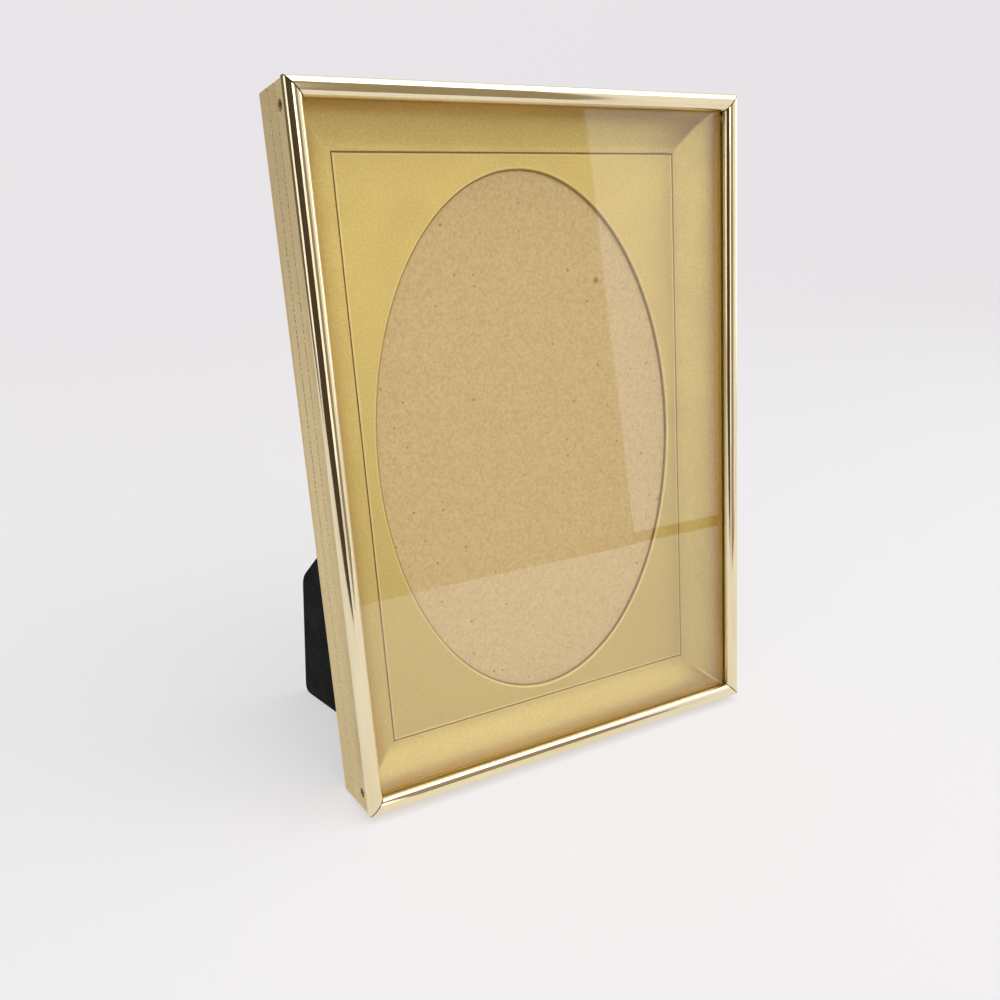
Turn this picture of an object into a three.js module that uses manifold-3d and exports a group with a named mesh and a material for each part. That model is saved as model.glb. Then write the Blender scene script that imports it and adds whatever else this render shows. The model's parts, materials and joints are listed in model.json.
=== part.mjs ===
// Oval mat picture frame. Four mitred roll-formed metal rails hold picture glass, a coved mat with an oval
// opening, a backing card and a back board. Turn buttons keep the board in, and a hinged wing stands it up.
// Millimetres. X runs to the right, Y from the front to the back, Z up. The frame leans back on its wing.
import * as THREE from "three";
import { mergeVertices } from "three/addons/utils/BufferGeometryUtils.js";
import Module from "manifold-3d";

// Whole frame
const frameWidth = 132.8;
const frameHeight = 184;
const leanAngle = THREE.MathUtils.degToRad(7.8);
const clearance = 0.3;

// Rails: one strip of sheet metal, rolled into a bead, a side wall and a rear lip
const railSheet = 0.5;
const beadWidth = 4.5;
const beadRise = 2;
const beadFullness = 0.6;
const beadOverhang = 0.35;
const hemRadius = 0.4;
const hemReach = 2.3;
const mitreGap = 0.3;
const stakeRadius = 1;
const stakeInset = 5.6;

// Corner keys: bent strip inside the rails
const keyThickness = 1;
const keyWidth = 5.4;
const keyArm = 13;
const keyBend = 0.5;
const keyEdgeRound = 0.25;
const keyHoleRadius = 0.8;

// Glass, mat, card and back board, which share one outline
const paneRoom = 0.75;
const passRoom = 0.55;
const glassThickness = 2;
const glassSeam = 0.25;
const matWall = 0.8;
const matDepth = 8.75;
const coveInset = 10.4;
const coveEndAngle = THREE.MathUtils.degToRad(78);
const lineOffset = 0.8;
const lineHalfWidth = 0.3;
const lineDepth = 0.3;
const ovalMargin = 4.25;
const ovalRoll = 0.5;
const cardThickness = 0.8;
const cardCorner = 0.3;
const boardThickness = 2.2;
const boardCorner = 2;

// Turn buttons
const buttonLength = 18;
const buttonWidth = 8.4;
const buttonTipWidth = 4.4;
const buttonTipRound = 1.8;
const buttonWaistRound = 3;
const buttonThickness = 0.6;
const buttonPlay = 0.6;
const buttonTipRoom = 0.5;
const buttonSpacing = 96;

// Rivets
const buttonShank = 1.2;
const buttonHead = 2.5;
const buttonDome = 0.7;
const leafShank = 0.8;
const leafHead = 1.7;
const leafDome = 0.5;
const flatHead = 0.5;
const tailHead = 0.4;

// Easel wing: a board hinged upright on the back board
const wingOpenAngle = THREE.MathUtils.degToRad(101.6);
const wingThickness = 2.4;
const wingReach = 61;
const wingShoulderReach = 53;
const wingShoulderHeight = 50.2;
const wingRootTop = 91;
const wingRootBottom = 5;
const wingFootStart = 12;
const wingCorner = 3;
const wingRootRound = 1;
const wingRoom = 2.3;

// Hinges
const hingeHeights = [22, 68];
const hingeLength = 20;
const hingeSheet = 0.5;
const leafReach = 10.5;
const pinRadius = 0.6;
const pinEnd = 0.2;
const knuckleWrap = THREE.MathUtils.degToRad(240);
const middleKnuckle = 7.4;
const leafRivetSpacing = 12;
const backRivetReach = 4.2;
const wingRivetReach = 8;

// Smoothness of round stretches
const arcSteps = 9;
const roundSides = 16;
const rivetSides = 16;
const domeSteps = 3;
const cornerSteps = 4;
const coveSteps = 7;
const matShortSteps = 18;
const matLongSteps = 26;

// Cutting: how near two points merge, and how many times a sheet's thickness a piercing tool is long
const mergeDistance = 1e-4;
const piercingLength = 4;

// Places from the front to the back, measured from the crown of the bead
const wallInner = beadOverhang + railSheet;
const hemRear = beadRise + hemRadius + railSheet / 2;
const glassFront = hemRear + clearance;
const matFront = glassFront + glassThickness + clearance;
const panelFront = matFront + matDepth;
const cardFront = panelFront + matWall + clearance;
const boardFront = cardFront + cardThickness + clearance;
const boardRear = boardFront + boardThickness;
const buttonFront = boardRear + clearance;
const buttonRear = buttonFront + buttonThickness;
const frameDepth = buttonRear + buttonPlay + railSheet;

// Sizes that follow from the rails
const keyGap = clearance + keyThickness + paneRoom;
const lipReach = railSheet + keyGap - passRoom;
const paneHalfWidth = frameWidth / 2 - wallInner - keyGap;
const paneHalfHeight = frameHeight / 2 - wallInner - keyGap;
const lineInset = coveInset + lineOffset;
const stakeDepth = glassFront + keyWidth / 2;
const underside = beadOverhang - frameHeight / 2;
const buttonX = frameWidth / 2 - wallInner - buttonTipRoom - buttonLength / 2;

// Hinge sizes that follow from the pin
const boreRadius = pinRadius + clearance;
const knuckleRadius = boreRadius + hingeSheet;
const hingeY = boardRear + clearance + knuckleRadius;
const wingInner = knuckleRadius + clearance;
const wingOuter = wingInner + wingThickness;
const hingeX = buttonLength / 2 - buttonX + wingRoom + wingOuter * Math.sin(wingOpenAngle);

const wasm = await Module();
wasm.setup();

// Finishes
const railGold = new THREE.MeshStandardMaterial({ color: 0xdcc795, roughness: 0.18, metalness: 1 });
const matGold = new THREE.MeshStandardMaterial({ color: 0xd2b06a, roughness: 0.42, metalness: 0.6 });
const clearGlass = new THREE.MeshStandardMaterial({
  color: 0xf4f8f6,
  roughness: 0.03,
  metalness: 0,
  transparent: true,
  opacity: 0.2,
});
const kraftCard = new THREE.MeshStandardMaterial({ color: 0xc8a774, roughness: 0.9, metalness: 0 });
const blackBoard = new THREE.MeshStandardMaterial({ color: 0x1b1b1c, roughness: 0.85, metalness: 0 });
const plainSteel = new THREE.MeshStandardMaterial({ color: 0xa8a49c, roughness: 0.35, metalness: 1 });

// A closed geometry as a solid that can be cut
function solidOf(geometry) {
  const bare = new THREE.BufferGeometry();
  bare.setAttribute("position", geometry.getAttribute("position"));
  bare.setIndex(geometry.getIndex());
  const merged = mergeVertices(bare, mergeDistance);
  const mesh = new wasm.Mesh({
    numProp: 3,
    vertProperties: merged.getAttribute("position").array,
    triVerts: new Uint32Array(merged.getIndex().array),
  });
  return new wasm.Manifold(mesh);
}

// The geometry that is left when each tool is cut out of it
function cut(geometry, tools) {
  let solid = solidOf(geometry);
  for (const tool of tools) {
    solid = solid.subtract(solidOf(tool));
  }
  const mesh = solid.getMesh();
  const result = new THREE.BufferGeometry();
  result.setAttribute("position", new THREE.BufferAttribute(mesh.vertProperties, 3));
  result.setIndex(new THREE.BufferAttribute(mesh.triVerts, 1));
  result.computeVertexNormals();
  return result;
}

// A line of points moved sideways, with its corners kept sharp
function offsetLine(points, distance) {
  return points.map((point, i) => {
    const arriving = point.clone().sub(points[Math.max(i - 1, 0)]);
    const leaving = points[Math.min(i + 1, points.length - 1)].clone().sub(point);
    const first = (i === 0 ? leaving : arriving).normalize();
    const second = (i === points.length - 1 ? arriving : leaving).normalize();
    const normal = new THREE.Vector2(first.y, -first.x);
    const bisector = new THREE.Vector2(second.y, -second.x).add(normal).normalize();
    return point.clone().addScaledVector(bisector, distance / bisector.dot(normal));
  });
}

// The section of a strip of sheet metal whose middle line is the path
function stripSection(path, thickness) {
  const shortest = 1e-6;
  const points = path.getPoints(arcSteps);
  const middle = points.filter((point, i) => i === 0 || point.distanceTo(points[i - 1]) > shortest);
  const oneSide = offsetLine(middle, thickness / 2);
  const otherSide = offsetLine(middle, -thickness / 2);
  return new THREE.Shape([...oneSide, ...otherSide.reverse()]);
}

// An outline of straight edges with rounded corners, each given as [x, y, rounding]
function roundedOutline(corners) {
  const shape = new THREE.Shape();
  corners.forEach(([x, y, rounding], i) => {
    const corner = new THREE.Vector2(x, y);
    const before = new THREE.Vector2(...corners.at(i - 1));
    const after = new THREE.Vector2(...corners[(i + 1) % corners.length]);
    const enter = before.sub(corner).setLength(rounding).add(corner);
    const leave = after.sub(corner).setLength(rounding).add(corner);
    if (i === 0) {
      shape.moveTo(enter.x, enter.y);
    } else {
      shape.lineTo(enter.x, enter.y);
    }
    shape.quadraticCurveTo(x, y, leave.x, leave.y);
  });
  shape.closePath();
  return shape;
}

function roundedRectangle(halfWidth, halfHeight, rounding) {
  return roundedOutline([
    [halfWidth, -halfHeight, rounding],
    [halfWidth, halfHeight, rounding],
    [-halfWidth, halfHeight, rounding],
    [-halfWidth, -halfHeight, rounding],
  ]);
}

// A flat sheet whose outline lies in X and Z, with its front face at y = 0
function plate(shape, thickness) {
  const geometry = new THREE.ExtrudeGeometry(shape, {
    depth: thickness,
    bevelEnabled: false,
    curveSegments: cornerSteps,
  });
  return geometry.rotateX(Math.PI / 2).translate(0, thickness, 0);
}

// A round tool along Y, from one depth to another
function drill(x, z, radius, from, to) {
  const tool = new THREE.CylinderGeometry(radius, radius, to - from, roundSides);
  return tool.translate(x, (from + to) / 2, z);
}

function addPiece(group, name, geometry, material) {
  const piece = new THREE.Mesh(geometry, material);
  piece.name = name;
  group.add(piece);
  return piece;
}

// Rails. The section is drawn from the outer edge of the bead inwards, and from its crown to the back.
function railSection() {
  const wallMiddle = beadOverhang + railSheet / 2;
  const lipMiddle = frameDepth - railSheet / 2;
  const beadOuter = railSheet / 2;
  const beadInner = beadWidth - railSheet / 2;
  const beadMiddle = beadWidth / 2;
  const crownY = railSheet / 2;
  const shoulderX = beadFullness * (beadMiddle - beadOuter);
  const shoulderY = beadRise - beadFullness * (beadRise - crownY);
  const hemX = beadInner - hemRadius;
  const path = new THREE.Path();
  path.moveTo(beadOverhang + lipReach, lipMiddle);
  path.lineTo(wallMiddle, lipMiddle);
  path.lineTo(wallMiddle, beadRise + railSheet);
  path.lineTo(beadOuter, beadRise);
  path.bezierCurveTo(beadOuter, shoulderY, beadMiddle - shoulderX, crownY, beadMiddle, crownY);
  path.bezierCurveTo(beadMiddle + shoulderX, crownY, beadInner, shoulderY, beadInner, beadRise);
  path.absarc(hemX, beadRise, hemRadius, 0, Math.PI / 2, false);
  path.lineTo(hemX - hemReach, beadRise + hemRadius);
  return stripSection(path, railSheet);
}

// A rail on the left of the centre, cut to its mitres and pierced for the stakes at both ends
function railGeometry(halfLength, halfSpan) {
  const geometry = new THREE.ExtrudeGeometry(railSection(), { depth: 1, bevelEnabled: false });
  const position = geometry.getAttribute("position");
  const endGap = mitreGap * Math.SQRT1_2;
  for (let i = 0; i < position.count; i += 1) {
    const inward = position.getX(i);
    const end = position.getZ(i) > 0.5 ? 1 : -1;
    position.setX(i, inward - halfSpan);
    position.setZ(i, end * (halfLength - endGap - inward));
  }
  const holes = [-1, 1].map((end) => {
    const length = piercingLength * railSheet;
    const hole = new THREE.CylinderGeometry(stakeRadius, stakeRadius, length, roundSides);
    hole.rotateZ(Math.PI / 2);
    return hole.translate(wallInner - halfSpan, stakeDepth, end * (halfLength - stakeInset));
  });
  return cut(geometry, holes);
}

function addRails(group) {
  const sideRail = railGeometry(frameHeight / 2, frameWidth / 2);
  const crossRail = railGeometry(frameWidth / 2, frameHeight / 2);
  ["left", "top", "right", "bottom"].forEach((side, quarter) => {
    const rail = addPiece(group, `rail_${side}`, quarter % 2 ? crossRail : sideRail, railGold);
    rail.rotation.y = (quarter * Math.PI) / 2;
  });
}

// Corner keys. Each is drawn at the lower left corner, where its arms run right and up.
function keyGeometry() {
  const outline = roundedOutline([
    [0, 0, keyBend + keyThickness],
    [keyArm, 0, keyEdgeRound],
    [keyArm, keyThickness, keyEdgeRound],
    [keyThickness, keyThickness, keyBend],
    [keyThickness, keyArm, keyEdgeRound],
    [0, keyArm, keyEdgeRound],
  ]);
  const along = stakeInset - wallInner - clearance;
  const length = piercingLength * keyThickness;
  const rightHole = new THREE.CylinderGeometry(keyHoleRadius, keyHoleRadius, length, roundSides);
  const upHole = rightHole.clone();
  rightHole.rotateX(Math.PI / 2).translate(along, keyWidth / 2, 0);
  upHole.rotateZ(Math.PI / 2).translate(0, keyWidth / 2, along);
  return cut(plate(outline, keyWidth), [rightHole, upHole]);
}

function addKeys(group) {
  const geometry = keyGeometry();
  const cornerX = frameWidth / 2 - wallInner - clearance;
  const cornerZ = frameHeight / 2 - wallInner - clearance;
  const corners = [
    ["bottom_left", -1, -1],
    ["top_left", -1, 1],
    ["top_right", 1, 1],
    ["bottom_right", 1, -1],
  ];
  corners.forEach(([corner, sideX, sideZ], quarter) => {
    const key = addPiece(group, `corner_key_${corner}`, geometry, plainSteel);
    key.rotation.y = (quarter * Math.PI) / 2;
    key.position.set(sideX * cornerX, glassFront, sideZ * cornerZ);
  });
}

// Glass with its edges seamed
function addGlass(group) {
  const outline = roundedRectangle(paneHalfWidth - glassSeam, paneHalfHeight - glassSeam, glassSeam);
  const geometry = new THREE.ExtrudeGeometry(outline, {
    depth: glassThickness - 2 * glassSeam,
    bevelThickness: glassSeam,
    bevelSize: glassSeam,
    bevelSegments: 1,
    curveSegments: 1,
  });
  geometry.rotateX(Math.PI / 2).translate(0, glassThickness - glassSeam, 0);
  addPiece(group, "glass_pane", geometry, clearGlass).position.y = glassFront;
}

// A rectangle of points round the centre, in even steps between its corners
function rectangleRing(inset, depth) {
  const halfWidth = paneHalfWidth - inset;
  const halfHeight = paneHalfHeight - inset;
  const corners = [
    [halfWidth, -halfHeight],
    [halfWidth, halfHeight],
    [-halfWidth, halfHeight],
    [-halfWidth, -halfHeight],
  ];
  return corners.flatMap(([startX, startZ], side) => {
    const [endX, endZ] = corners[(side + 1) % corners.length];
    const steps = side % 2 ? matShortSteps : matLongSteps;
    return Array.from({ length: steps }, (_, i) => {
      const x = THREE.MathUtils.lerp(startX, endX, i / steps);
      const z = THREE.MathUtils.lerp(startZ, endZ, i / steps);
      return new THREE.Vector3(x, depth, z);
    });
  });
}

// An oval of points, each in line with a point of the pressed line's rectangle and the centre
function ovalRing(growth, depth) {
  const halfWidth = paneHalfWidth - lineInset - ovalMargin + growth;
  const halfHeight = paneHalfHeight - lineInset - ovalMargin + growth;
  return rectangleRing(lineInset, depth).map(({ x, z }) => {
    const scale = 1 / Math.hypot(x / halfWidth, z / halfHeight);
    return new THREE.Vector3(x * scale, depth, z * scale);
  });
}

// A surface through closed rings of points, which joins its last ring to its first
function closedLoft(rings) {
  const count = rings[0].length;
  const geometry = new THREE.BufferGeometry().setFromPoints(rings.flat());
  const indices = [];
  rings.forEach((_, ring) => {
    const next = (ring + 1) % rings.length;
    for (let i = 0; i < count; i += 1) {
      const j = (i + 1) % count;
      const corners = [ring * count + i, ring * count + j, next * count + j, next * count + i];
      indices.push(corners[0], corners[1], corners[2], corners[0], corners[2], corners[3]);
    }
  });
  geometry.setIndex(indices);
  geometry.computeVertexNormals();
  return geometry;
}

// Mat: a pressed tray. Its rim meets the glass, its border is a concave cove that is mitred at the corners,
// and its panel has a pressed line and an oval opening with a rolled edge.
function addMat(group) {
  const coveWidth = (coveInset - matWall) / (1 - Math.cos(coveEndAngle));
  const coveHeight = matDepth / Math.sin(coveEndAngle);
  const front = Array.from({ length: coveSteps + 1 }, (_, i) => {
    const angle = (coveEndAngle * i) / coveSteps;
    const inset = matWall + coveWidth * (1 - Math.cos(angle));
    return new THREE.Vector2(inset, matFront + coveHeight * Math.sin(angle));
  });
  const panelEdge = new THREE.Vector2(lineInset, panelFront);
  const rear = offsetLine([...front, panelEdge], -matWall).slice(0, -1).reverse();
  const panelRear = panelFront + matWall;
  const frontRings = front.map(({ x, y }) => rectangleRing(x, y));
  const rearRings = rear.map(({ x, y }) => rectangleRing(x, y));
  const rings = [
    ...frontRings,
    rectangleRing(lineInset - lineHalfWidth, panelFront),
    rectangleRing(lineInset, panelFront + lineDepth),
    rectangleRing(lineInset + lineHalfWidth, panelFront),
    ovalRing(ovalRoll, panelFront),
    ovalRing(ovalRoll * (1 - Math.SQRT1_2), panelFront + ovalRoll * (1 - Math.SQRT1_2)),
    ovalRing(0, panelFront + ovalRoll),
    ovalRing(0, panelRear),
    rectangleRing(lineInset, panelRear),
    ...rearRings,
  ];
  addPiece(group, "oval_mat", closedLoft(rings), matGold);
}

function addCard(group) {
  const outline = roundedRectangle(paneHalfWidth, paneHalfHeight, cardCorner);
  addPiece(group, "backing_card", plate(outline, cardThickness), kraftCard).position.y = cardFront;
}

// Places on the back board
const buttonPlaces = [
  ["upper_left", -buttonX, buttonSpacing / 2],
  ["upper_right", buttonX, buttonSpacing / 2],
  ["lower_left", -buttonX, -buttonSpacing / 2],
  ["lower_right", buttonX, -buttonSpacing / 2],
];
const hingePlaces = [
  ["lower", underside + hingeHeights[0]],
  ["upper", underside + hingeHeights[1]],
];
const leafRivetRows = [
  ["low", -leafRivetSpacing / 2],
  ["high", leafRivetSpacing / 2],
];

// A hole through the board with a wider step at the front for the rivet's flat head
function rivetSeat(x, z, shank, head) {
  return [
    drill(x, z, shank + clearance, boardFront - clearance, boardRear + clearance),
    drill(x, z, head + clearance, boardFront - clearance, boardFront + flatHead + clearance),
  ];
}

function addBoard(group) {
  const outline = roundedRectangle(paneHalfWidth, paneHalfHeight, boardCorner);
  const board = plate(outline, boardThickness).translate(0, boardFront, 0);
  const buttonSeats = buttonPlaces.flatMap(([, x, z]) => rivetSeat(x, z, buttonShank, buttonHead));
  const leafSeats = hingePlaces.flatMap(([, z]) =>
    leafRivetRows.flatMap(([, row]) => rivetSeat(hingeX + backRivetReach, z + row, leafShank, leafHead)),
  );
  addPiece(group, "back_board", cut(board, [...buttonSeats, ...leafSeats]), blackBoard);
}

// A rivet along Y: a flat head whose front face is at y = 0, a shank and a domed head
function rivetGeometry(shank, head, flat, grip, dome) {
  const seat = flat + grip;
  const domePoints = Array.from({ length: domeSteps }, (_, i) => {
    const angle = (i * Math.PI) / 2 / domeSteps;
    return new THREE.Vector2(head * Math.cos(angle), seat + dome * Math.sin(angle));
  });
  const profile = [
    new THREE.Vector2(0, 0),
    new THREE.Vector2(head, 0),
    new THREE.Vector2(head, flat),
    new THREE.Vector2(shank, flat),
    new THREE.Vector2(shank, seat),
    ...domePoints,
    new THREE.Vector2(0, seat + dome),
  ];
  return new THREE.LatheGeometry(profile, rivetSides);
}

// Turn buttons, shown locked: one end reaches under the rear lip of the side rail
function buttonGeometry() {
  const tip = buttonLength / 2;
  const outline = roundedOutline([
    [tip, -buttonTipWidth / 2, buttonTipRound],
    [tip, buttonTipWidth / 2, buttonTipRound],
    [0, buttonWidth / 2, buttonWaistRound],
    [-tip, buttonTipWidth / 2, buttonTipRound],
    [-tip, -buttonTipWidth / 2, buttonTipRound],
    [0, -buttonWidth / 2, buttonWaistRound],
  ]);
  const hole = drill(0, 0, buttonShank + clearance, -clearance, buttonThickness + clearance);
  return cut(plate(outline, buttonThickness), [hole]);
}

function addButtons(group) {
  const button = buttonGeometry();
  const grip = buttonRear + clearance - boardFront - flatHead;
  const rivet = rivetGeometry(buttonShank, buttonHead, flatHead, grip, buttonDome);
  for (const [place, x, z] of buttonPlaces) {
    addPiece(group, `turn_button_${place}`, button, plainSteel).position.set(x, buttonFront, z);
    addPiece(group, `button_rivet_${place}`, rivet, plainSteel).position.set(x, boardFront, z);
  }
}

// A hinge leaf of the given side, -1 for the board's and 1 for the wing's. Its sheet runs out along X and
// rolls round the pin at the centre. The wing's leaf keeps the middle knuckle, the board's the outer two.
function leafGeometry(side, rivetReach) {
  const middleRadius = boreRadius + hingeSheet / 2;
  const start = (side * Math.PI) / 2;
  const path = new THREE.Path();
  path.moveTo(leafReach, side * middleRadius);
  path.lineTo(0, side * middleRadius);
  path.absarc(0, 0, middleRadius, start, start + side * knuckleWrap, side < 0);
  const leaf = new THREE.ExtrudeGeometry(stripSection(path, hingeSheet), {
    depth: hingeLength,
    bevelEnabled: false,
  });
  leaf.translate(0, 0, -hingeLength / 2);
  const notchReach = knuckleRadius + clearance;
  const notchTool = (length, z) => {
    const tool = new THREE.BoxGeometry(2 * notchReach, 2 * notchReach, length);
    return tool.translate(0, 0, z);
  };
  const endLength = (hingeLength - middleKnuckle) / 2;
  const endCentre = (middleKnuckle + endLength) / 2 + clearance;
  const notches =
    side < 0
      ? [notchTool(middleKnuckle + 2 * clearance, 0)]
      : [notchTool(endLength + 2 * clearance, -endCentre), notchTool(endLength + 2 * clearance, endCentre)];
  const holes = leafRivetRows.map(([, row]) =>
    drill(rivetReach, row, leafShank + clearance, -2 * knuckleRadius, 2 * knuckleRadius),
  );
  return cut(leaf, [...notches, ...holes]);
}

function pinGeometry() {
  const half = hingeLength / 2 + pinEnd;
  const profile = [
    new THREE.Vector2(0, -half),
    new THREE.Vector2(pinRadius - pinEnd, -half),
    new THREE.Vector2(pinRadius, pinEnd - half),
    new THREE.Vector2(pinRadius, half - pinEnd),
    new THREE.Vector2(pinRadius - pinEnd, half),
    new THREE.Vector2(0, half),
  ];
  return new THREE.LatheGeometry(profile, rivetSides).rotateX(Math.PI / 2);
}

// The half of each hinge that stays on the board, with its pin and rivets
function addHinges(group) {
  const leaf = leafGeometry(-1, backRivetReach);
  const pin = pinGeometry();
  const leafRear = boardRear + clearance + hingeSheet;
  const grip = leafRear + clearance - boardFront - flatHead;
  const rivet = rivetGeometry(leafShank, leafHead, flatHead, grip, leafDome);
  for (const [place, z] of hingePlaces) {
    addPiece(group, `hinge_back_leaf_${place}`, leaf, plainSteel).position.set(hingeX, hingeY, z);
    addPiece(group, `hinge_pin_${place}`, pin, plainSteel).position.set(hingeX, hingeY, z);
    for (const [row, rise] of leafRivetRows) {
      const fastener = addPiece(group, `back_leaf_rivet_${place}_${row}`, rivet, plainSteel);
      fastener.position.set(hingeX + backRivetReach, boardFront, z + rise);
    }
  }
}

// The face of the wing whose root corner meets the back board first, and the one whose foot meets the table
const pastSquare = Math.cos(wingOpenAngle) < 0;
const stopFace = pastSquare ? wingOuter : wingInner;
const footFace = pastSquare ? wingInner : wingOuter;

// The height of the table, in the frame's own axes, under the face of the wing that meets it first
function tableHeight(reach) {
  const depth = hingeY + reach * Math.sin(wingOpenAngle) + footFace * Math.cos(wingOpenAngle);
  return (depth - frameDepth) * Math.tan(leanAngle) + underside;
}

// Easel wing. Its axes start at the hinge pin: X out along the wing, Y through it, Z up the frame. The root
// edge stands past the pin and stops on the back board, and the foot edge is cut to lie on the table.
function addWing(group) {
  const stopDrop = hingeY - boardRear - clearance + stopFace * Math.cos(wingOpenAngle);
  const rootOverhang = stopDrop / Math.sin(wingOpenAngle);
  const outline = roundedOutline([
    [-rootOverhang, underside + wingRootBottom, wingRootRound],
    [wingFootStart, tableHeight(wingFootStart), wingRootRound],
    [wingReach, tableHeight(wingReach), wingCorner],
    [wingShoulderReach, underside + wingShoulderHeight, wingCorner],
    [-rootOverhang, underside + wingRootTop, wingCorner],
  ]);
  const board = plate(outline, wingThickness).translate(0, wingInner, 0);
  const holes = hingePlaces.flatMap(([, z]) =>
    leafRivetRows.map(([, row]) =>
      drill(wingRivetReach, z + row, leafShank + clearance, 0, wingOuter + clearance),
    ),
  );
  const wing = new THREE.Group();
  wing.position.set(hingeX, hingeY, 0);
  wing.rotation.z = wingOpenAngle;
  addPiece(wing, "easel_wing", cut(board, holes), blackBoard);

  const leaf = leafGeometry(1, wingRivetReach);
  const rivetStart = boreRadius - clearance - tailHead;
  const grip = wingOuter + clearance - rivetStart - tailHead;
  const rivet = rivetGeometry(leafShank, leafHead, tailHead, grip, leafDome);
  for (const [place, z] of hingePlaces) {
    addPiece(wing, `hinge_wing_leaf_${place}`, leaf, plainSteel).position.z = z;
    for (const [row, rise] of leafRivetRows) {
      const fastener = addPiece(wing, `wing_leaf_rivet_${place}_${row}`, rivet, plainSteel);
      fastener.position.set(wingRivetReach, rivetStart, z + rise);
    }
  }
  group.add(wing);
}

// The frame in its own axes, leaning back
const leaning = new THREE.Group();
leaning.rotation.x = -leanAngle;
addRails(leaning);
addKeys(leaning);
addGlass(leaning);
addMat(leaning);
addCard(leaning);
addBoard(leaning);
addButtons(leaning);
addHinges(leaning);
addWing(leaning);

// The part stands on Z = 0, with the middle of its box over the origin
const ovalMatFrame = new THREE.Group();
ovalMatFrame.add(leaning);
ovalMatFrame.updateMatrixWorld(true);
const box = new THREE.Box3().setFromObject(ovalMatFrame, true);
const centre = box.getCenter(new THREE.Vector3());
leaning.position.set(-centre.x, -centre.y, -box.min.z);

export default ovalMatFrame;
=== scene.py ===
"""Looks of a free-standing picture frame with an oval mat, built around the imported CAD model."""
import json
import math
import random

import bmesh
import bpy
from mathutils import Matrix, Vector, geometry

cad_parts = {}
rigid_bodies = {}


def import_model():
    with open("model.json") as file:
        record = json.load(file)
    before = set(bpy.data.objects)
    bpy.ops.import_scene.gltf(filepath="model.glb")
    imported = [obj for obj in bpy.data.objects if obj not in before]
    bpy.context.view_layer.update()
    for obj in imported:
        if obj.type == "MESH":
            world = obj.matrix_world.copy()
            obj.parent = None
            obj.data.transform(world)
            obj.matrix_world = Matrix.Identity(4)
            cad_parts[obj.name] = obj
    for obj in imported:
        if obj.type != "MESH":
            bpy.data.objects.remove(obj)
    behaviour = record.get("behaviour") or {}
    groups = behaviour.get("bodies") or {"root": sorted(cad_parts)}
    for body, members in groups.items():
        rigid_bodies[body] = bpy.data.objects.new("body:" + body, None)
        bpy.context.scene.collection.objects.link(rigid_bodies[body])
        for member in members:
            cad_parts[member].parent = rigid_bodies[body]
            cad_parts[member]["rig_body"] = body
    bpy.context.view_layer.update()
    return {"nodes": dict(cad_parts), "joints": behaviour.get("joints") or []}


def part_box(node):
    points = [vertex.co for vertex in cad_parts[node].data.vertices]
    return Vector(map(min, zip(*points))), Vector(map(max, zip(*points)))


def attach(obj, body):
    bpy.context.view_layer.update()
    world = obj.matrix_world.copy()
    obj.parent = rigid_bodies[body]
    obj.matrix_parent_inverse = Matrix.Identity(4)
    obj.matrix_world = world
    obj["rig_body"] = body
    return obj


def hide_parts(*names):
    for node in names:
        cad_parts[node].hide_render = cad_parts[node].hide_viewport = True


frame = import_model()

# Rails. Four lengths of thin gold-toned strip metal, rolled into a hollow bead with a hemmed inner edge,
# a flat side wall and a lip at the back, then mitred and staked to keys inside the corners.
# Rows of short dashes and a fine grain are rolled into the side walls, and the bead is left polished.
# The dashes and the dimples of the stake holes are coloured a darker gold, as painted shade.
half_width = 66.4
half_height = 92.0
sheet = 0.5
bead_width = 4.5
bead_rise = 2.0
bead_fullness = 0.6
wall_inset = 0.35
rail_depth = 20.4
lip_reach = 2.0
lip_bend = 0.7
hem_radius = 0.65
hem_reach = 2.3
mitre_gap = 0.212
stake_from_end = 5.6
stake_depth = 5.65
stake_radius = 1.0
stake_dimple = 1.35
dash_rows = {18.6: 0.2, 13.6: 0.34, 8.2: 0.3}
dash_pitch = 1.3
dash_lengths = (1, 2, 2, 2, 3)
dash_slope = 0.1
dash_depth = 0.12
dash_seed = 5
# Material slot of the painted shade in the dashes and the stake-hole dimples.
dash_shade_finish = 2
bend_points = 7
bead_points = 16
punch_sides = 32
crisp_from = math.radians(35)
pane_low, pane_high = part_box("glass_pane")
frame_up = Vector(frame["joints"][0]["axis"])
lean = math.atan2(frame_up.y, frame_up.z)
glass_middle = 3.95
millimetre = 0.001

# Pieces are drawn in millimetres, x to the right, y back from the bead's crown and z up from the middle,
# and this puts them into the leaning frame.
place = (
    Matrix.Translation((pane_low + pane_high) / 2)
    @ Matrix.Rotation(-lean, 4, "X")
    @ Matrix.Scale(millimetre, 4)
    @ Matrix.Translation((0, -glass_middle, 0))
)


def new_finish(name, colour, metallic, roughness):
    material = bpy.data.materials.new(name)
    material.use_nodes = True
    shader = material.node_tree.nodes["Principled BSDF"]
    shader.inputs["Base Color"].default_value = (*colour, 1)
    shader.inputs["Metallic"].default_value = metallic
    shader.inputs["Roughness"].default_value = roughness
    return material, shader


def add_node(material, kind, **inputs):
    node = material.node_tree.nodes.new(kind)
    for name, value in inputs.items():
        node.inputs[name.replace("_", " ")].default_value = value
    return node


def join(material, source, output, target, socket):
    material.node_tree.links.new(source.outputs[output], target.inputs[socket])


def frame_coordinates(material, stretch=(1, 1, 1)):
    """Object coordinates turned to the leaning frame, with the pattern stretched along its axes."""
    coordinates = add_node(material, "ShaderNodeTexCoord")
    mapping = add_node(material, "ShaderNodeMapping", Rotation=(-lean, 0, 0), Scale=stretch)
    mapping.vector_type = "TEXTURE"
    join(material, coordinates, "Object", mapping, "Vector")
    return mapping


def add_noise(material, mapping, scale, detail=3, roughness=0.5):
    noise = add_node(material, "ShaderNodeTexNoise", Scale=scale, Detail=detail, Roughness=roughness)
    join(material, mapping, "Vector", noise, "Vector")
    return noise


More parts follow.
